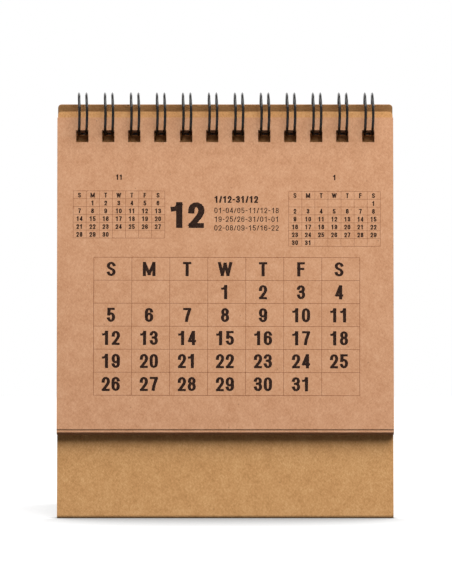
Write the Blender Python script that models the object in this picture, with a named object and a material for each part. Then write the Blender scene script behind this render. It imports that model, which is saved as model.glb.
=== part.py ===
"""Desk calendar: a tent stand of creased kraft board with kraft leaves on a twin-loop wire.

The front faces -Y, the width runs along X and Z is up. The origin is the middle of the
stand's underside. Every length is in metres, written in millimetres times MM.
"""

import math

import bmesh
import bpy
from mathutils import Matrix, Vector

MM = 0.001

# The stand: one strip of board, creased into a front panel, a base and a back panel
BOARD = 0.6 * MM
STAND_WIDTH = 109.1 * MM
FRONT_LENGTH = 133.7 * MM
FRONT_LEAN = math.radians(14.0)
BASE_DEPTH = 67.0 * MM
FOLD_RADIUS = 0.7 * MM
CORNER_RADIUS = 1.2 * MM
CREASE_GAP = 0.04 * MM
CREASE_WIDTH = 1.6 * MM
CREASE_DEPTH = 0.2 * MM

# The leaves: the month on show and the twelve behind it, which end a little lower
LEAF_COUNT = 13
LEAF_PROUD = 0.15 * MM
LEAF_WIDTH = STAND_WIDTH + 2 * LEAF_PROUD
LEAF_LENGTH = 104.1 * MM
FRONT_LEAF_TRIM = 0.9 * MM
LEAF_THICKNESS = 0.17 * MM
LEAF_SPACING = 0.23 * MM
STACK_GAP = 0.3 * MM

# The punched row, in a three-to-the-inch pitch, shared by the leaves and both panels
LOOP_COUNT = 12
LOOP_PITCH = 8.467 * MM
HOLE_SIDE = 4.0 * MM
HOLE_TO_EDGE = 4.2 * MM

# The binding: one wire bent into pairs of legs, rolled up and closed inside the tent
WIRE = 0.8 * MM
BINDING_DIAMETER = 14.4 * MM
LEG_SPACING = 2.4 * MM
ROOT_BEND_RADIUS = 1.0 * MM
ROOT_ANGLE = math.radians(-32.0)
TIP_ANGLE = math.radians(-17.0)
RING_STEP = math.radians(12.0)
SEAT_GAP = 0.1 * MM
HANG_GAP = 0.1 * MM

# Where the ring lies to the two panels, square to each panel
RING_BEFORE_FRONT = 1.0 * MM
RING_TO_BACK = 3.8 * MM

RING_RADIUS = (BINDING_DIAMETER - WIRE) / 2


def ring_crossing(offset, thickness, side):
    """Where a plate that passes the ring's axis at this offset must end beside the wire.

    It is measured along the plate from the axis. Side is 1 above the wire and -1 below it.
    The wire crosses the plate at a slant, which makes it wider there by the two last terms.
    """
    slant = math.asin(offset / RING_RADIUS)
    half_width = WIRE / 2 / math.cos(slant) + thickness / 2 * abs(math.tan(slant))
    return -RING_RADIUS * math.cos(slant) + side * half_width


def panel_top(offset):
    """The height of a panel's top edge over the ring's axis: the wire rests in its holes."""
    return ring_crossing(offset, BOARD, -1) - SEAT_GAP + HOLE_SIDE + HOLE_TO_EDGE


def leaf_top(offset):
    """The height of a leaf's top edge over the ring's axis: it hangs from the wire."""
    return ring_crossing(offset, LEAF_THICKNESS, 1) + HANG_GAP + HOLE_TO_EDGE


def leaf_offset(number):
    """How far leaf 1, 2, ... lies in front of the ring's axis, square to the leaf."""
    last = -RING_BEFORE_FRONT + STACK_GAP + LEAF_THICKNESS / 2
    return last + (LEAF_COUNT - number) * LEAF_SPACING


def up_and_out(lean):
    """The directions up along a panel and square out of its outer face, in the YZ plane."""
    up = Vector((0, math.sin(lean), math.cos(lean)))
    out = Vector((0, -math.cos(lean), math.sin(lean)))
    return up, out


FRONT_OFFSET = -(RING_BEFORE_FRONT + BOARD / 2)
FRONT_UP, FRONT_OUT = up_and_out(FRONT_LEAN)
FRONT_FOLD = Vector((0, FOLD_RADIUS - BASE_DEPTH / 2, FOLD_RADIUS))
BACK_FOLD = Vector((0, BASE_DEPTH / 2 - FOLD_RADIUS, FOLD_RADIUS))
FOLD_TO_MIDDLE = FOLD_RADIUS - BOARD / 2
RING_CENTRE = (
    FRONT_FOLD
    + FRONT_OUT * (FOLD_TO_MIDDLE - FRONT_OFFSET)
    + FRONT_UP * (FRONT_LENGTH - panel_top(FRONT_OFFSET))
)

# The back panel leans so that it passes behind the ring's axis at its own distance
BACK_OFFSET = RING_TO_BACK + BOARD / 2
FOLD_FROM_RING = BACK_FOLD - RING_CENTRE
BACK_LEAN = math.atan2(FOLD_FROM_RING.z, FOLD_FROM_RING.y) + math.acos(
    (BACK_OFFSET - FOLD_TO_MIDDLE) / FOLD_FROM_RING.length
)
BACK_UP = Vector((0, -math.sin(BACK_LEAN), math.cos(BACK_LEAN)))
BACK_OUT = Vector((0, math.cos(BACK_LEAN), math.sin(BACK_LEAN)))


def material(name, colour, roughness, metallic=0.0):
    made = bpy.data.materials.new(name)
    made.use_nodes = True
    shader = made.node_tree.nodes["Principled BSDF"]
    shader.inputs["Base Color"].default_value = (*colour, 1.0)
    shader.inputs["Roughness"].default_value = roughness
    shader.inputs["Metallic"].default_value = metallic
    return made


def add_object(name, data, look):
    made = bpy.data.objects.new(name, data)
    data.materials.append(look)
    bpy.context.scene.collection.objects.link(made)
    return made


def loop_places():
    """The X place of each pair of legs, and of the hole that it runs through."""
    first = -LOOP_PITCH * (LOOP_COUNT - 1) / 2
    return [first + LOOP_PITCH * number for number in range(LOOP_COUNT)]


def arc(centre_x, centre_y, radius, start, end, steps):
    """Points on an arc, from one angle to another in degrees."""
    angles = [math.radians(start + (end - start) * n / steps) for n in range(steps + 1)]
    return [(centre_x + radius * math.cos(a), centre_y + radius * math.sin(a)) for a in angles]


def sheet_outline(width, bottom, top, corner_radius):
    """A sheet's outline, with its top corners rounded where there is a radius."""
    half = width / 2
    outline = [(-half, bottom), (half, bottom)]
    if corner_radius:
        inner = half - corner_radius
        shoulder = top - corner_radius
        outline += arc(inner, shoulder, corner_radius, 0, 90, 6)
        outline += arc(-inner, shoulder, corner_radius, 90, 180, 6)
    else:
        outline += [(half, top), (-half, top)]
    return outline


def filled_solid(name, rings, thickness):
    """A flat shape, with a hole for each ring after the first, extruded along Z about z = 0."""
    shape = bmesh.new()
    edges = []
    for ring in rings:
        corners = [shape.verts.new((x, y, -thickness / 2)) for x, y in ring]
        for number, corner in enumerate(corners):
            edges.append(shape.edges.new((corner, corners[number - 1])))
    bmesh.ops.triangle_fill(shape, use_beauty=True, use_dissolve=False, edges=edges)
    raised = bmesh.ops.extrude_face_region(shape, geom=shape.faces[:])
    verts = [item for item in raised["geom"] if isinstance(item, bmesh.types.BMVert)]
    bmesh.ops.translate(shape, verts=verts, vec=(0, 0, thickness))
    bmesh.ops.recalc_face_normals(shape, faces=shape.faces[:])
    mesh = bpy.data.meshes.new(name)
    shape.to_mesh(mesh)
    shape.free()
    return mesh


def punched_sheet(name, look, width, bottom, top, offset, thickness, lean, corner_radius=0.0):
    """A sheet with the row of square holes, set on the ring's axis, which is its origin.

    Bottom and top are measured up the sheet from the axis, and offset square to it.
    """
    rings = [sheet_outline(width, bottom, top, corner_radius)]
    hole_top = top - HOLE_TO_EDGE
    hole_bottom = hole_top - HOLE_SIDE
    for x in loop_places():
        left = x - HOLE_SIDE / 2
        right = x + HOLE_SIDE / 2
        rings.append([(left, hole_bottom), (right, hole_bottom), (right, hole_top), (left, hole_top)])
    mesh = filled_solid(name, rings, thickness)
    mesh.transform(Matrix.Translation((0, 0, offset)))
    sheet = add_object(name, mesh, look)
    sheet.location = RING_CENTRE
    sheet.rotation_euler = (math.pi / 2 - lean, 0, 0)
    return sheet


def build_front_panel(look):
    top = panel_top(FRONT_OFFSET)
    bottom = top - FRONT_LENGTH + CREASE_GAP
    punched_sheet(
        "stand_front_panel", look, STAND_WIDTH, bottom, top, FRONT_OFFSET, BOARD, FRONT_LEAN, CORNER_RADIUS
    )


def build_back_panel(look):
    top = panel_top(BACK_OFFSET)
    bottom = (BACK_FOLD - RING_CENTRE).dot(BACK_UP) + CREASE_GAP
    punched_sheet(
        "stand_back_panel", look, STAND_WIDTH, bottom, top, -BACK_OFFSET, BOARD, -BACK_LEAN, CORNER_RADIUS
    )


def build_base(look):
    """The base with both folds, which curl up to meet the panels, and its centre crease."""
    front = math.degrees(FRONT_LEAN)
    back = math.degrees(BACK_LEAN)
    inner = FOLD_RADIUS - BOARD
    outline = arc(FRONT_FOLD.y, FOLD_RADIUS, FOLD_RADIUS, 180 - front, 270, 8)
    outline += arc(BACK_FOLD.y, FOLD_RADIUS, FOLD_RADIUS, 270, 360 + back, 8)
    outline += arc(BACK_FOLD.y, FOLD_RADIUS, inner, 360 + back, 270, 5)
    outline += [(CREASE_WIDTH / 2, BOARD), (0, BOARD - CREASE_DEPTH), (-CREASE_WIDTH / 2, BOARD)]
    outline += arc(FRONT_FOLD.y, FOLD_RADIUS, inner, 270, 180 - front, 5)
    mesh = filled_solid("stand_base", [outline], STAND_WIDTH)
    # The drawn profile's X and Y become the object's Y and Z, and its thickness the width
    mesh.transform(Matrix(((0, 0, 1, 0), (1, 0, 0, 0), (0, 1, 0, 0), (0, 0, 0, 1))))
    add_object("stand_base", mesh, look)


def build_leaves(look):
    for number in range(1, LEAF_COUNT + 1):
        offset = leaf_offset(number)
        top = leaf_top(offset)
        length = LEAF_LENGTH - FRONT_LEAF_TRIM if number == 1 else LEAF_LENGTH
        punched_sheet(
            f"leaf_{number:02d}",
            look,
            LEAF_WIDTH,
            top - length,
            top,
            offset,
            LEAF_THICKNESS,
            FRONT_LEAN,
        )


def on_ring(x, angle):
    """A point on the binding's cylinder. The angle runs from straight down to the front."""
    down_and_out = Vector((x, -RING_RADIUS * math.sin(angle), -RING_RADIUS * math.cos(angle)))
    return RING_CENTRE + down_and_out


def leg_points(x, start, end):
    steps = max(1, round(abs(end - start) / RING_STEP))
    return [on_ring(x, start + (end - start) * n / steps) for n in range(steps + 1)]


def twin_loop(x):
    """One pair of legs, from its root over the back, the top and the front to its tip."""
    half = LEG_SPACING / 2
    root = ROOT_ANGLE - ROOT_BEND_RADIUS / RING_RADIUS
    tip = TIP_ANGLE - 2 * math.pi + half / RING_RADIUS
    points = leg_points(x - half, root, tip)
    turn = arc(0, 0, half, 180, 0, 6)[1:-1]
    points += [on_ring(x + across, tip - along / RING_RADIUS) for across, along in turn]
    points += leg_points(x + half, tip, root)
    return points


def root_bend(x, direction):
    """The quarter bend from the root line into the leg that starts to its left or right."""
    turn = arc(0, 0, ROOT_BEND_RADIUS, 90, 0, 3)[:-1]
    centre = x - direction * ROOT_BEND_RADIUS
    low = ROOT_ANGLE - ROOT_BEND_RADIUS / RING_RADIUS
    return [on_ring(centre + direction * across, low + along / RING_RADIUS) for across, along in turn]


def wire_route():
    """The whole wire: each twin loop, joined to the next by the root line between them."""
    half = LEG_SPACING / 2
    route = []
    for x in loop_places():
        route += root_bend(x - half, 1)
        route += twin_loop(x)
        route += root_bend(x + half, -1)[::-1]
    return route


def least_gap(route):
    """The least clear distance between two stretches of wire over two diameters apart."""
    skip = 10
    reach = len(route) // LOOP_COUNT * 2
    gap = LOOP_PITCH
    for number, point in enumerate(route):
        for other in route[number + skip : number + reach]:
            gap = min(gap, (point - other).length - WIRE)
    return gap


def build_binding(look):
    route = wire_route()
    curve = bpy.data.curves.new("wire_binding", "CURVE")
    curve.dimensions = "3D"
    curve.bevel_depth = WIRE / 2
    curve.bevel_resolution = 1
    curve.use_fill_caps = True
    spline = curve.splines.new("POLY")
    spline.points.add(len(route) - 1)
    for point, place in zip(spline.points, route):
        point.co = (*place, 1.0)
    add_object("wire_binding", curve, look)
    print(f"least gap of the wire to itself: {least_gap(route) / MM:.2f} mm")


def main():
    for old in list(bpy.data.objects):
        bpy.data.objects.remove(old, do_unlink=True)
    board = material("kraft_board", (0.527, 0.291, 0.117), 0.75)
    paper = material("kraft_paper", (0.610, 0.322, 0.187), 0.8)
    wire = material("black_wire", (0.02, 0.02, 0.022), 0.25)
    build_front_panel(board)
    build_base(board)
    build_back_panel(board)
    build_binding(wire)
    build_leaves(paper)
    print("ring centre", [round(value / MM, 3) for value in RING_CENTRE])
    print("back panel lean", round(math.degrees(BACK_LEAN), 3))


main()
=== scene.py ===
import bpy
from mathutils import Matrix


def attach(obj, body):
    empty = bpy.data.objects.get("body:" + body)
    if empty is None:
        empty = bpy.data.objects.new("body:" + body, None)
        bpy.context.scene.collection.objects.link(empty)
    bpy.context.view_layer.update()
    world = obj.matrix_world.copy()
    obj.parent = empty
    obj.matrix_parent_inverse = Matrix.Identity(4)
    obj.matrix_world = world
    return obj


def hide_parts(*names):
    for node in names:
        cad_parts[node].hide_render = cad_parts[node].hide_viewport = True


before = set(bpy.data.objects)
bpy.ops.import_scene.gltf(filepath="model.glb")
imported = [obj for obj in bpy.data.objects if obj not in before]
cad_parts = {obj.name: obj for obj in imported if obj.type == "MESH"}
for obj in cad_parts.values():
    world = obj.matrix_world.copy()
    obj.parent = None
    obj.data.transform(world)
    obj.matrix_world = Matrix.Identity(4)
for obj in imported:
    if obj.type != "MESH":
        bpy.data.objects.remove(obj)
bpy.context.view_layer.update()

import calendar
import math

import bpy
from mathutils import Matrix, Vector

MM = 0.001

# The stand is one strip of uncoated brown kraft board, 0.6 mm thick, die-cut with rounded
# corners and square holes and creased into a front panel, a base and a back panel.

CLOUD_WIDTH = 4 * MM
FIBRE_LENGTH = 1.2 * MM
FIBRE_TURNS = (85, 40, -50)
FIBRE_RELIEF = 0.03 * MM
FLECK_SPACING = 5 * MM
BASE_HEIGHT = 3 * MM

# A Mix node's sockets for its two colours, the mixed colour and its two plain numbers
COLOUR_A, COLOUR_B, MIXED_COLOUR = 6, 7, 2
NUMBER_A, NUMBER_B = 2, 3


def from_hex(colour):
    """An sRGB hex colour as the linear values that the nodes take."""
    channels = [int(colour[n : n + 2], 16) / 255 for n in (0, 2, 4)]
    linear = [c / 12.92 if c <= 0.04045 else ((c + 0.055) / 1.055) ** 2.4 for c in channels]
    return (*linear, 1.0)


def add_node(tree, kind, settings=None, inputs=None):
    """Adds a node, sets its properties, and sets or links each of its named inputs."""
    made = tree.nodes.new(kind)
    for name, value in (settings or {}).items():
        setattr(made, name, value)
    for name, value in (inputs or {}).items():
        if isinstance(value, bpy.types.NodeSocket):
            tree.links.new(value, made.inputs[name])
        else:
            made.inputs[name].default_value = value
    return made


def new_material(name):
    """An empty material, with its output node."""
    made = bpy.data.materials.new(name)
    made.use_nodes = True
    tree = made.node_tree
    tree.nodes.clear()
    return made, tree, add_node(tree, "ShaderNodeOutputMaterial")


def dress(node, look):
    """Gives a CAD node its finish."""
    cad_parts[node].data.materials.clear()
    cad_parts[node].data.materials.append(look)


def uncoated_kraft(name, pulp, shade, tint, grain):
    """Unbleached pulp: a matt brown with a cloudy formation, crossed fibres and a few flecks.

    Pulp, shade and tint are the plain, the darker and the lighter brown. Grain is the
    strength of the fibres. Real fibres are 0.03 mm thick, which is too fine to show, so
    they are drawn 0.4 mm thick.
    """
    made, tree, output = new_material(name)
    coordinates = add_node(tree, "ShaderNodeTexCoord").outputs
    place = coordinates["Object"]

    # Formation: clouds where the pulp lies thicker or thinner
    clouds = add_node(
        tree, "ShaderNodeTexNoise", inputs={"Vector": place, "Scale": 1 / CLOUD_WIDTH, "Detail": 2.0}
    )
    # Fibres cross at all angles, and most of them lie upright, along the web
    fibres = []
    for turn in FIBRE_TURNS:
        mapping = add_node(
            tree,
            "ShaderNodeMapping",
            {"vector_type": "TEXTURE"},
            {"Vector": place, "Rotation": (0, math.radians(turn), 0), "Scale": (1, 0.33, 0.33)},
        )
        fibres.append(
            add_node(
                tree,
                "ShaderNodeTexNoise",
                inputs={
                    "Vector": mapping.outputs[0],
                    "Scale": 1 / FIBRE_LENGTH,
                    "Detail": 2.0,
                    "Roughness": 0.6,
                },
            ).outputs["Fac"]
        )
    crossed = add_node(tree, "ShaderNodeMath", {"operation": "ADD"}, {0: fibres[0], 1: fibres[1]})
    matted = add_node(tree, "ShaderNodeMath", {"operation": "ADD"}, {0: crossed.outputs[0], 1: fibres[2]})
    level = add_node(
        tree,
        "ShaderNodeMapRange",
        inputs={
            "Value": matted.outputs[0],
            "From Min": 1.1,
            "From Max": 1.9,
            "To Min": 0.5 - grain,
            "To Max": 0.5 + grain,
        },
    )
    cloudy = add_node(
        tree,
        "ShaderNodeMapRange",
        inputs={
            "Value": clouds.outputs["Fac"],
            "From Min": 0.3,
            "From Max": 0.7,
            "To Min": -0.16,
            "To Max": 0.16,
        },
    )
    tone = add_node(tree, "ShaderNodeMath", {"operation": "ADD"}, {0: level.outputs[0], 1: cloudy.outputs[0]})
    brown = add_node(tree, "ShaderNodeValToRGB", inputs={"Fac": tone.outputs[0]})
    ramp = brown.color_ramp
    ramp.elements[0].position = 0.0
    ramp.elements[0].color = from_hex(shade)
    ramp.elements[1].position = 1.0
    ramp.elements[1].color = from_hex(tint)
    middle = ramp.elements.new(0.5)
    middle.color = from_hex(pulp)

    # Flecks of bark, up to 0.3 mm across
    flecks = add_node(
        tree,
        "ShaderNodeTexVoronoi",
        {"feature": "F1"},
        {"Vector": place, "Scale": 1 / FLECK_SPACING, "Randomness": 1.0},
    )
    fleck = add_node(
        tree,
        "ShaderNodeMapRange",
        inputs={
            "Value": flecks.outputs["Distance"],
            "From Min": 0.03,
            "From Max": 0.055,
            "To Min": 0.4,
            "To Max": 0.0,
        },
    )
    flecked = add_node(
        tree,
        "ShaderNodeMix",
        {"data_type": "RGBA"},
        {"Factor": fleck.outputs[0], COLOUR_A: brown.outputs["Color"], COLOUR_B: from_hex("6B4A30")},
    )
    # Cut edges, which face sideways or up, are darkened: partly the open fibre's own darker
    # tone, partly painted shade that holds down the strong light from above on the edges
    # that face up. The base lies flat on the table, so only its sideways edges count at its height
    facing = add_node(tree, "ShaderNodeSeparateXYZ", inputs={0: coordinates["Normal"]})
    sideways = add_node(tree, "ShaderNodeMath", {"operation": "ABSOLUTE"}, {0: facing.outputs["X"]})
    upright = add_node(tree, "ShaderNodeMath", {"operation": "ABSOLUTE"}, {0: facing.outputs["Z"]})
    height = add_node(tree, "ShaderNodeSeparateXYZ", inputs={0: place})
    above = add_node(
        tree, "ShaderNodeMath", {"operation": "GREATER_THAN"}, {0: height.outputs["Z"], 1: BASE_HEIGHT}
    )
    standing = add_node(
        tree, "ShaderNodeMath", {"operation": "MULTIPLY"}, {0: upright.outputs[0], 1: above.outputs[0]}
    )
    turned = add_node(
        tree, "ShaderNodeMath", {"operation": "MAXIMUM"}, {0: sideways.outputs[0], 1: standing.outputs[0]}
    )
    edge_fibre_and_shade = add_node(tree, "ShaderNodeMath", {"operation": "GREATER_THAN"}, {0: turned.outputs[0], 1: 0.7})
    # Painted shade with the fibre's own tone: the edges' colour is multiplied down by B8AEA4
    surface = add_node(
        tree,
        "ShaderNodeMix",
        {"data_type": "RGBA", "blend_type": "MULTIPLY"},
        {"Factor": edge_fibre_and_shade.outputs[0], COLOUR_A: flecked.outputs[MIXED_COLOUR], COLOUR_B: from_hex("B8AEA4")},
    )
    bump = add_node(
        tree, "ShaderNodeBump", inputs={"Height": matted.outputs[0], "Strength": 0.25, "Distance": FIBRE_RELIEF}
    )
    paper = add_node(
        tree,
        "ShaderNodeBsdfPrincipled",
        inputs={
            "Base Color": surface.outputs[MIXED_COLOUR],
            "Roughness": 0.85,
            "IOR": 1.5,
            "Specular IOR Level": 0.25,
            "Normal": bump.outputs[0],
        },
    )
    tree.links.new(paper.outputs[0], output.inputs["Surface"])
    return made


# Kraft board is stiffer and yellower than the leaves
kraft_board = uncoated_kraft("kraft_board", "C6945F", "B1814E", "D5A772", 0.4)
for panel in ("stand_front_panel", "stand_base", "stand_back_panel"):
    dress(panel, kraft_board)

# The binding is one steel wire with a glossy black plastic coat, bent into twin loops
# three to the inch, rolled to a ring through the holes and closed inside the tent.

RING_CENTRE = Vector((0, -2.337 * MM, 129.909 * MM))
WIRE = 0.8 * MM
COAT = 0.04 * MM
RING_RADIUS = 6.8 * MM
LOOP_PITCH = 8.467 * MM
LOOP_COUNT = 12
LEG_SPACING = 2.45 * MM
# How far the loops have slid in their holes, everywhere and on top of that at the front
LOOP_SHIFT = 0.11 * MM
LOOP_LEAN = 0.25 * MM
ROOT_BEND_RADIUS = 1.0 * MM
ROOT_ANGLE = math.radians(-32.0)
TIP_ANGLE = math.radians(-17.0)
COAT_WAVE = 2 * MM
COAT_RELIEF = 0.02 * MM
loop_places = [LOOP_PITCH * (number - (LOOP_COUNT - 1) / 2) for number in range(LOOP_COUNT)]


def on_ring(x, angle):
    """A point on the ring. The angle runs from straight down towards the front.

    The loops have slid a little to the right in their holes, and most at the front.
    """
    forward = math.sin(angle)
    aside = x + LOOP_SHIFT + LOOP_LEAN * max(0.0, forward) ** 3
    return RING_CENTRE + Vector((aside, -RING_RADIUS * forward, -RING_RADIUS * math.cos(angle)))


def along(start, end, steps):
    return [start + (end - start) * step / steps for step in range(steps + 1)]


def looped_wire():
    """The points that the wire runs through, from the first root bend to the last."""
    half = LEG_SPACING / 2
    low = ROOT_ANGLE - ROOT_BEND_RADIUS / RING_RADIUS
    tip = TIP_ANGLE - 2 * math.pi + half / RING_RADIUS
    route = []
    for x in loop_places:
        bend = [
            (ROOT_BEND_RADIUS * (math.cos(turn) - 1), ROOT_BEND_RADIUS * math.sin(turn))
            for turn in along(math.pi / 2, 0, 6)[:-1]
        ]
        route += [on_ring(x - half + across, low + rise / RING_RADIUS) for across, rise in bend]
        route += [on_ring(x - half, angle) for angle in along(low, tip, 84)]
        cap = [(half * math.cos(turn), half * math.sin(turn)) for turn in along(math.pi, 0, 12)[1:-1]]
        route += [on_ring(x + across, tip - rise / RING_RADIUS) for across, rise in cap]
        route += [on_ring(x + half, angle) for angle in along(tip, low, 84)]
        route += [on_ring(x + half - across, low + rise / RING_RADIUS) for across, rise in bend[::-1]]
    return route


def glossy_coat():
    """Nylon coat on steel wire, dipped: near black, smooth, with sharp highlights."""
    made, tree, output = new_material("black_nylon_coat")
    place = add_node(tree, "ShaderNodeTexCoord").outputs["Object"]
    # The coat flows a little in the dip, in slow waves
    waves = add_node(
        tree, "ShaderNodeTexNoise", inputs={"Vector": place, "Scale": 1 / COAT_WAVE, "Detail": 1.0}
    )
    gloss = add_node(
        tree,
        "ShaderNodeMapRange",
        inputs={
            "Value": waves.outputs["Fac"],
            "From Min": 0.3,
            "From Max": 0.7,
            "To Min": 0.09,
            "To Max": 0.17,
        },
    )
    tone = add_node(
        tree,
        "ShaderNodeMix",
        {"data_type": "RGBA"},
        {"Factor": waves.outputs["Fac"], COLOUR_A: from_hex("0B0807"), COLOUR_B: from_hex("17120F")},
    )
    bump = add_node(
        tree,
        "ShaderNodeBump",
        inputs={"Height": waves.outputs["Fac"], "Strength": 0.3, "Distance": COAT_RELIEF},
    )
    coat = add_node(
        tree,
        "ShaderNodeBsdfPrincipled",
        inputs={
            "Base Color": tone.outputs[MIXED_COLOUR],
            "Roughness": gloss.outputs[0],
            "IOR": 1.53,
            "Specular IOR Level": 0.22,
            "Normal": bump.outputs[0],
        },
    )
    tree.links.new(coat.outputs[0], output.inputs["Surface"])
    return made


route = looped_wire()
bpy.ops.object.select_all(action="DESELECT")
bpy.ops.curve.primitive_nurbs_path_add(location=(0, 0, 0))
binding = bpy.context.object
binding.name = "twin_loop_wire"
binding.data.splines.clear()
spline = binding.data.splines.new("POLY")
spline.points.add(len(route) - 1)
for point, spot in zip(spline.points, route):
    point.co = (*spot, 1.0)
binding.data.bevel_depth = WIRE / 2 + COAT
binding.data.bevel_resolution = 6
binding.data.use_fill_caps = True
bpy.ops.object.convert(target="MESH")
binding = bpy.context.object
bpy.ops.object.shade_smooth_by_angle(angle=math.radians(50))
binding.data.materials.clear()
binding.data.materials.append(glossy_coat())
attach(binding, "stand")
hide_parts("wire_binding")

# The leaves are thirteen sheets of thinner kraft paper, cut and punched in one pile.
# They hang from the wire by their holes and turn over it to the back.

LEAF_COUNT = 13
kraft_paper = uncoated_kraft("kraft_paper", "C99570", "B8835E", "D6A581", 0.36)
for number in range(1, LEAF_COUNT + 1):
    dress(f"leaf_{number:02d}", kraft_paper)

# Each leaf is printed in black on its front: the month's grid, the months before and
# after it, and the month's number, in a narrow, bold face without serifs.

LEAN = math.radians(14.0)
LEAF_LENGTH = 104.1 * MM
LEAF_THICKNESS = 0.17 * MM
LEAF_SPACING = 0.23 * MM
LAST_LEAF_OFFSET = -0.615 * MM
HOLE_TO_EDGE = 4.2 * MM
HANG_GAP = 0.1 * MM
INK_DEPTH = 0.008 * MM
INK_ABOVE_PAPER = 0.002 * MM
INK_SPOT = 0.3 * MM
PRINT_TURN = math.radians(-0.12)
YEAR_ON_SHOW = 2021

# Places on the sheet, from the middle of its top edge: x to the right and y up. A figure is
# shifted from its cell's middle, and dropped from its cell's top
MAIN_GRID = {
    "left": -42.71 * MM,
    "top": -46.45 * MM,
    "cell_width": 12.345 * MM,
    "cell_height": 7.6 * MM,
    "figure": 4.7 * MM,
    "face": "bold",
    "line": 0.16 * MM,
    "shift": -0.55 * MM,
    "drop": 1.52 * MM,
}
SMALL_GRID = {
    "top": -24.45 * MM,
    "cell_width": 4.255 * MM,
    "cell_height": 2.605 * MM,
    "figure": 1.6 * MM,
    "face": "small",
    "line": 0.12 * MM,
    "shift": -0.1 * MM,
    "drop": 0.62 * MM,
}
SMALL_GRID_LEFTS = (-49.5 * MM, 20.6 * MM)
# The name's middle is counted from its grid's left edge
SMALL_NAME_MIDDLE = 14.9 * MM
SMALL_NAME_FOOT = -20.75 * MM
SMALL_NAME_HEIGHT = 1.75 * MM
MONTH_RIGHT = -6.8 * MM
MONTH_FOOT = -36.7 * MM
MONTH_HEIGHT = 8.55 * MM
LINES_LEFT = -3.6 * MM
DATES_FOOT = -28.35 * MM
DATES_HEIGHT = 2.3 * MM
# The feet of the three lines of weeks, in millimetres
WEEKS_FEET = [-31.75 - 2.9 * row for row in range(3)]
WEEKS_HEIGHT = 1.8 * MM


def ink(name, colour):
    """Offset ink, pressed into rough paper, so that it is matt and a little broken."""
    made, tree, output = new_material(name)
    place = add_node(tree, "ShaderNodeTexCoord").outputs["Object"]
    # The paper's grain shows through the ink in spots
    grain = add_node(
        tree, "ShaderNodeTexNoise", inputs={"Vector": place, "Scale": 1 / INK_SPOT, "Detail": 2.0}
    )
    cover = add_node(
        tree,
        "ShaderNodeMapRange",
        inputs={
            "Value": grain.outputs["Fac"],
            "From Min": 0.5,
            "From Max": 0.8,
            "To Min": 0.0,
            "To Max": 0.15,
        },
    )
    tone = add_node(
        tree,
        "ShaderNodeMix",
        {"data_type": "RGBA"},
        {"Factor": cover.outputs[0], COLOUR_A: from_hex(colour), COLOUR_B: from_hex("A97C5C")},
    )
    print_film = add_node(
        tree,
        "ShaderNodeBsdfPrincipled",
        inputs={
            "Base Color": tone.outputs[MIXED_COLOUR],
            "Roughness": 0.8,
            "IOR": 1.5,
            "Specular IOR Level": 0.1,
        },
    )
    tree.links.new(print_film.outputs[0], output.inputs["Surface"])
    return made


def bowl(u, v, across, up, start, end, steps=6):
    """Points on a bent stroke about (u, v), from one angle to another in degrees."""
    turns = along(math.radians(start), math.radians(end), steps)
    return [(u + across * math.cos(turn), v + up * math.sin(turn)) for turn in turns]


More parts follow.
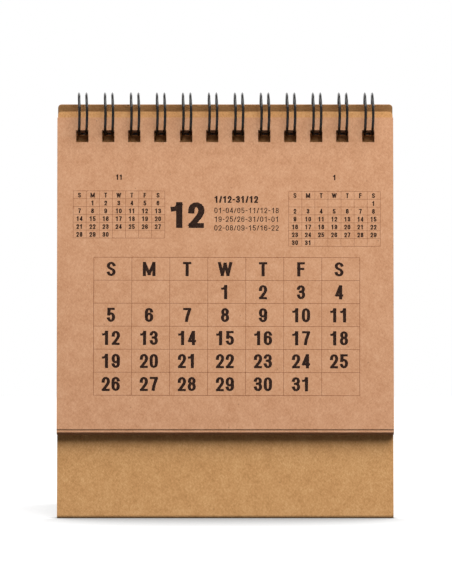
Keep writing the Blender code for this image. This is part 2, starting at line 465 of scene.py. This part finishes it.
# Each figure's width, as a share of its height, and its strokes, drawn down the middle of
# the pen in a frame that runs from 0 to 1 in both directions
SIX_HOOK = bowl(0.5, 0.74, 0.5, 0.26, 12, 180, 7) + [(0, 0.5), (0, 0.3)]
SIX_BOWL = bowl(0.5, 0.27, 0.5, 0.27, 180, 360, 6) + bowl(0.5, 0.37, 0.5, 0.24, 0, 180, 6) + [(0, 0.27)]
FIGURES = {
    "0": (0.58, [bowl(0.5, 0.7, 0.5, 0.3, 0, 180) + bowl(0.5, 0.3, 0.5, 0.3, 180, 360) + [(1, 0.7)]]),
    "1": (0.44, [[(1, 0), (1, 1)], [(0.1, 0.79), (0.45, 0.8), (0.78, 0.88), (0.95, 0.97)]]),
    "2": (
        0.58,
        [
            bowl(0.5, 0.73, 0.5, 0.27, 188, 0, 7) + [(0.98, 0.62), (0.8, 0.45), (0.25, 0.13), (0.07, 0.03)],
            [(0.05, 0), (0.95, 0)],
        ],
    ),
    "3": (
        0.58,
        [
            bowl(0.48, 0.765, 0.48, 0.235, 172, -78, 8) + [(0.38, 0.53)],
            [(0.5, 0.54)] + bowl(0.5, 0.27, 0.5, 0.27, 78, -170, 8),
        ],
    ),
    "4": (0.6, [[(0.76, 0), (0.76, 1)], [(0.1, 0.24), (0.95, 0.24)], [(0.68, 0.98), (0.04, 0.27)]]),
    "5": (
        0.58,
        [
            [(0.1, 1), (0.92, 1)],
            [(0.13, 0.96), (0.07, 0.53)],
            bowl(0.5, 0.31, 0.5, 0.31, 122, -158, 9),
        ],
    ),
    "6": (0.58, [SIX_HOOK, SIX_BOWL]),
    "7": (0.58, [[(0.05, 1), (0.95, 1)], [(1, 0.96), (0.78, 0.66), (0.52, 0.32), (0.42, 0.02)]]),
    "8": (0.58, [bowl(0.5, 0.765, 0.45, 0.235, 0, 360, 12), bowl(0.5, 0.27, 0.5, 0.27, 0, 360, 12)]),
    "9": (0.58, [[(1 - u, 1 - v) for u, v in SIX_HOOK], [(1 - u, 1 - v) for u, v in SIX_BOWL]]),
    "S": (
        0.62,
        [
            bowl(0.5, 0.76, 0.5, 0.24, 15, 190, 7)
            + [(0.2, 0.58), (0.8, 0.44)]
            + bowl(0.5, 0.25, 0.5, 0.25, 15, -165, 7)
        ],
    ),
    "M": (0.88, [[(0, 0), (0, 1)], [(0.04, 0.95), (0.5, 0.08)], [(0.5, 0.08), (0.96, 0.95)], [(1, 1), (1, 0)]]),
    "T": (0.62, [[(0.05, 1), (0.95, 1)], [(0.5, 0), (0.5, 1)]]),
    "W": (
        1.0,
        [
            [(0, 1), (0.25, 0.02)],
            [(0.25, 0.02), (0.5, 0.95)],
            [(0.5, 0.95), (0.75, 0.02)],
            [(0.75, 0.02), (1, 1)],
        ],
    ),
    "F": (0.54, [[(0, 0), (0, 1)], [(0.1, 1), (0.95, 1)], [(0.1, 0.53), (0.85, 0.53)]]),
    "-": (0.4, [[(0.1, 0.45), (0.9, 0.45)]]),
    "/": (0.42, [[(0, 0.02), (1, 0.98)]]),
}

# A face's upright and level strokes, its figures' stretch and the gap between them, the last
# and the first two as shares of the height
FACES = {
    "bold": (0.22, 0.16, 1, 0.1),
    "heavy": (0.24, 0.19, 1.07, 0.22),
    "small": (0.24, 0.18, 1, 0.1),
    "light": (0.15, 0.13, 1, 0.165),
}
FIGURE_WIDTH = 0.58


def draw_figure(character, face):
    """One figure, one unit high, as a flat closed mesh with its foot on y = 0.

    Each stroke is a round pen's track, flattened. The level strokes are thinner than the
    upright ones, so the figure is drawn tall and pressed down to its height at the end.
    """
    width, strokes = FIGURES[character]
    upright, level, stretch, _ = FACES[face]
    width *= stretch
    press = level / upright
    bpy.ops.object.select_all(action="DESELECT")
    bpy.ops.curve.primitive_nurbs_path_add(location=(0, 0, 0))
    drawn = bpy.context.object
    drawn.data.splines.clear()
    drawn.data.twist_mode = "Z_UP"
    for stroke in strokes:
        track = [
            Vector((upright / 2 + u * (width - upright), (level / 2 + v * (1 - level)) / press, 0))
            for u, v in stroke
        ]
        closed = (track[0] - track[-1]).length < 0.01
        if closed:
            track.pop()
        else:
            # The pen's end is square and reaches half its width past the point
            track[0] = track[0] + (track[0] - track[1]).normalized() * upright / 2
            track[-1] = track[-1] + (track[-1] - track[-2]).normalized() * upright / 2
        spline = drawn.data.splines.new("POLY")
        spline.points.add(len(track) - 1)
        spline.use_cyclic_u = closed
        spline.use_smooth = False
        for point, spot in zip(spline.points, track):
            point.co = (*spot, 1.0)
    drawn.data.bevel_depth = upright / 2
    drawn.data.bevel_resolution = 0
    drawn.data.use_fill_caps = True
    bpy.ops.object.convert(target="MESH")
    drawn = bpy.context.object
    drawn.data.transform(Matrix.Diagonal((1, press, 1 / upright, 1)))
    figure = drawn.data
    bpy.data.objects.remove(drawn)
    return figure


drawn_figures = {}


def print_words(line, face, x, y, height, align=0.5):
    """Sets a line of figures on the sheet, with its foot at y, and returns the objects.

    X is the line's left end where align is 0, its middle at 0.5 and its right end at 1.
    """
    pieces = []
    _, _, stretch, gap = FACES[face]
    # Figures share one width, so that they line up in columns, but not in the heavy face
    widths = [
        FIGURE_WIDTH if character.isdigit() and face != "heavy" else FIGURES[character][0] * stretch
        for character in line
    ]
    left = x - align * height * (sum(widths) + gap * (len(line) - 1))
    for character, width in zip(line, widths):
        if (character, face) not in drawn_figures:
            drawn_figures[character, face] = draw_figure(character, face)
        piece = bpy.data.objects.new("figure", drawn_figures[character, face].copy())
        bpy.context.scene.collection.objects.link(piece)
        piece.data.transform(
            Matrix.Translation((left, y, 0)) @ Matrix.Diagonal((height, height, INK_DEPTH, 1))
        )
        pieces.append(piece)
        left += (width + gap) * height
    return pieces


def print_grid(columns, rows, left, top, cell_width, cell_height, line):
    """A ruled grid of fine lines, as one lattice."""
    width = columns * cell_width
    height = rows * cell_height
    bpy.ops.object.select_all(action="DESELECT")
    bpy.ops.mesh.primitive_grid_add(x_subdivisions=columns, y_subdivisions=rows, size=1, location=(0, 0, 0))
    ruled = bpy.context.object
    ruled.data.transform(
        Matrix.Translation((left + width / 2, top - height / 2, 0)) @ Matrix.Diagonal((width, height, 1, 1))
    )
    lattice = ruled.modifiers.new("lattice", "WIREFRAME")
    lattice.thickness = line
    lattice.use_even_offset = False
    lattice.use_boundary = True
    bpy.ops.object.modifier_apply(modifier="lattice")
    ruled.data.transform(Matrix.Diagonal((1, 1, INK_DEPTH / line, 1)))
    return [ruled]


def weeks_of(year, month):
    """The weeks of a month, from Sunday, with 0 for a day of another month."""
    if month < 1:
        return weeks_of(year - 1, month + 12)
    if month > 12:
        return weeks_of(year + 1, month - 12)
    return calendar.Calendar(firstweekday=6).monthdayscalendar(year, month)


def print_month(weeks, left, top, cell_width, cell_height, figure, face, line, shift, drop):
    """A ruled month: a row of weekday initials and a row for each week."""
    ruled = print_grid(7, len(weeks) + 1, left, top, cell_width, cell_height, line)
    figures = []
    for row, week in enumerate([list("SMTWTFS")] + weeks):
        foot = top - row * cell_height - drop - figure
        for column, entry in enumerate(week):
            if entry:
                middle = left + (column + 0.5) * cell_width + shift
                figures += print_words(str(entry), face, middle, foot, figure)
    return figures, ruled


def join(pieces, name):
    bpy.ops.object.select_all(action="DESELECT")
    for piece in pieces:
        piece.select_set(True)
    bpy.context.view_layer.objects.active = pieces[0]
    bpy.ops.object.join()
    joined = bpy.context.object
    joined.name = name
    joined.data.name = name
    joined.data.materials.clear()
    return joined


black_ink = ink("black_offset_ink", "24150F")
hairline_ink = ink("hairline_offset_ink", "7A4528")
for number in range(1, LEAF_COUNT + 1):
    year, month = (YEAR_ON_SHOW, 12) if number == 1 else (YEAR_ON_SHOW + 1, number - 1)
    weeks = weeks_of(year, month)
    following = weeks_of(year, month + 1)
    figures, ruled = print_month(weeks, **MAIN_GRID)
    for left, other in zip(SMALL_GRID_LEFTS, (month - 1, month + 1)):
        small, lines = print_month(weeks_of(year, other), left=left, **SMALL_GRID)
        named = str((other - 1) % 12 + 1)
        figures += small
        figures += print_words(named, "small", left + SMALL_NAME_MIDDLE, SMALL_NAME_FOOT, SMALL_NAME_HEIGHT)
        ruled += lines
    # Beside the month's number: its first and last day, and the weeks that follow
    figures += print_words(str(month), "heavy", MONTH_RIGHT, MONTH_FOOT, MONTH_HEIGHT, align=1.0)
    dates = f"1/{month}-{max(weeks[-1])}/{month}"
    figures += print_words(dates, "small", LINES_LEFT, DATES_FOOT, DATES_HEIGHT, align=0.0)
    spans = [f"{min(d for d in week if d):02d}-{max(week):02d}" for week in weeks + following]
    for row, foot in enumerate(WEEKS_FEET):
        line = "/".join(spans[3 * row : 3 * row + 3])
        figures += print_words(line, "light", LINES_LEFT, foot * MM, WEEKS_HEIGHT, align=0.0)

    # Each leaf lies at its own distance in front of the rings' axis, and hangs from the wire
    # by its holes' upper edges: the further from the axis, the higher the wire passes
    offset = LAST_LEAF_OFFSET + (LEAF_COUNT - number) * LEAF_SPACING
    slant = math.asin(offset / RING_RADIUS)
    hang = (
        -RING_RADIUS * math.cos(slant)
        + WIRE / 2 / math.cos(slant)
        + LEAF_THICKNESS / 2 * abs(math.tan(slant))
    )
    top = hang + HANG_GAP + HOLE_TO_EDGE
    face_of_leaf = offset + LEAF_THICKNESS / 2 + INK_DEPTH / 2 + INK_ABOVE_PAPER
    on_leaf = (
        Matrix.Translation(RING_CENTRE)
        @ Matrix.Rotation(math.pi / 2 - LEAN, 4, "X")
        @ Matrix.Translation((0, top, face_of_leaf))
        @ Matrix.Translation((0, -LEAF_LENGTH / 2, 0))
        @ Matrix.Rotation(PRINT_TURN, 4, "Z")
        @ Matrix.Translation((0, LEAF_LENGTH / 2, 0))
    )
    for pieces, name, look in ((figures, "print", black_ink), (ruled, "rules", hairline_ink)):
        sheet = join(pieces, f"leaf_{number:02d}_{name}")
        sheet.data.transform(on_leaf)
        sheet.data.materials.append(look)
        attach(sheet, f"leaf_{number:02d}")

# The studio: a white table with one softbox high in front of the calendar and a weaker one
# low behind it, in a dim room with a white wall all round.

TABLE_RADIUS = 0.6
# The painted shadow's reach, and the places on Y between which it fades out under the base
SHADOW_REACH = 60 * MM
SHADOW_FULL = -34 * MM
SHADOW_END = -26 * MM
# How much paler the table shows than it is lit
SHOWN_LIFT = 0.75


def shown_rays(tree):
    """1 for what the camera sees, straight, in gloss or through glass, and 0 for other light."""
    seen = add_node(tree, "ShaderNodeLightPath").outputs
    shown = add_node(
        tree, "ShaderNodeMath", {"operation": "MAXIMUM"}, {0: seen["Is Camera Ray"], 1: seen["Is Glossy Ray"]}
    )
    return add_node(
        tree, "ShaderNodeMath", {"operation": "MAXIMUM"}, {0: shown.outputs[0], 1: seen["Is Transmission Ray"]}
    ).outputs[0]


bpy.ops.object.select_all(action="DESELECT")
bpy.ops.mesh.primitive_circle_add(
    vertices=96, radius=TABLE_RADIUS, fill_type="NGON", location=(0, 0, 0)
)
table = bpy.context.object
table.name = "table"
white, tree, output = new_material("white_table")
shown = shown_rays(tree)
# In front of the fold, which no light reaches from behind, lies a soft shadow: a painted
# shadow, made in the table's look from its ambient occlusion and kept to the front of the base
near = add_node(tree, "ShaderNodeAmbientOcclusion", {"samples": 16}, {"Distance": SHADOW_REACH})
painted_contact_shadow = add_node(tree, "ShaderNodeMath", {"operation": "POWER"}, {0: near.outputs["AO"], 1: 1.9})
spot = add_node(tree, "ShaderNodeSeparateXYZ", inputs={0: add_node(tree, "ShaderNodeTexCoord").outputs["Object"]})
in_front = add_node(
    tree,
    "ShaderNodeMapRange",
    inputs={
        "Value": spot.outputs["Y"],
        "From Min": SHADOW_FULL,
        "From Max": SHADOW_END,
        "To Min": 1.0,
        "To Max": 0.0,
    },
)
seen_front = add_node(tree, "ShaderNodeMath", {"operation": "MULTIPLY"}, {0: shown, 1: in_front.outputs[0]})
# The painted shadow darkens the table only for what the camera sees, in front of the base
kept = add_node(
    tree,
    "ShaderNodeMix",
    {"data_type": "FLOAT"},
    {0: seen_front.outputs[0], NUMBER_A: 1.0, NUMBER_B: painted_contact_shadow.outputs[0]},
)
lift = add_node(tree, "ShaderNodeMath", {"operation": "MULTIPLY"}, {0: shown, 1: SHOWN_LIFT})
tone = add_node(
    tree,
    "ShaderNodeMix",
    {"data_type": "RGBA"},
    {"Factor": shown, COLOUR_A: from_hex("656565"), COLOUR_B: from_hex("959595")},
)
matt = add_node(tree, "ShaderNodeBsdfDiffuse", inputs={"Color": tone.outputs[MIXED_COLOUR]})
glow = add_node(tree, "ShaderNodeEmission", inputs={"Color": from_hex("FFFFFF"), "Strength": lift.outputs[0]})
both = add_node(tree, "ShaderNodeAddShader", inputs={0: matt.outputs[0], 1: glow.outputs[0]})
dimmed = add_node(tree, "ShaderNodeMixShader", inputs={0: kept.outputs[0], 2: both.outputs[0]})
tree.links.new(dimmed.outputs[0], output.inputs["Surface"])
table.data.materials.append(white)

world = bpy.data.worlds.new("room")
bpy.context.scene.world = world
world.use_nodes = True
tree = world.node_tree
tree.nodes.clear()
output = add_node(tree, "ShaderNodeOutputWorld")
air = add_node(
    tree,
    "ShaderNodeMix",
    {"data_type": "RGBA"},
    {"Factor": shown_rays(tree), COLOUR_A: from_hex("363636"), COLOUR_B: from_hex("FFFFFF")},
)
sky = add_node(tree, "ShaderNodeBackground", inputs={"Color": air.outputs[MIXED_COLOUR], "Strength": 1.0})
tree.links.new(sky.outputs[0], output.inputs["Surface"])

# Each softbox faces the middle of the calendar: its place, its width and height, and its power
LIT_SPOT = Vector((0, 0, 70 * MM))
for name, place, width, height, watts in (
    ("front_softbox", Vector((0.3, -0.43, 1.19)), 1.1, 1.0, 31.0),
    ("back_softbox", Vector((0, 1.13, 0.72)), 2.4, 1.3, 20.0),
):
    bpy.ops.object.select_all(action="DESELECT")
    facing = (place - LIT_SPOT).to_track_quat("Z", "Y").to_euler()
    bpy.ops.object.light_add(type="AREA", location=place, rotation=facing)
    softbox = bpy.context.object
    softbox.name = name
    softbox.data.shape = "RECTANGLE"
    softbox.data.size = width
    softbox.data.size_y = height
    softbox.data.energy = watts

# The camera looks at the middle of the calendar with a long lens, from a little above.

DISTANCE = 4.0
ELEVATION = math.radians(3.083)
SENSOR_WIDTH = 36
PHOTO_WIDTH = 452
FOCAL_PIXELS = 12253.7
target = Vector((0.237 * MM, 0, 71.607 * MM))
bpy.ops.object.camera_add(
    location=target + DISTANCE * Vector((0, -math.cos(ELEVATION), math.sin(ELEVATION))),
    rotation=(math.pi / 2 - ELEVATION, 0, 0),
)
camera = bpy.context.object
camera.data.sensor_fit = "HORIZONTAL"
camera.data.sensor_width = SENSOR_WIDTH
camera.data.lens = FOCAL_PIXELS * SENSOR_WIDTH / PHOTO_WIDTH
camera.data.clip_end = 20
bpy.context.scene.camera = camera
bpy.context.scene.view_settings.view_transform = "Standard"
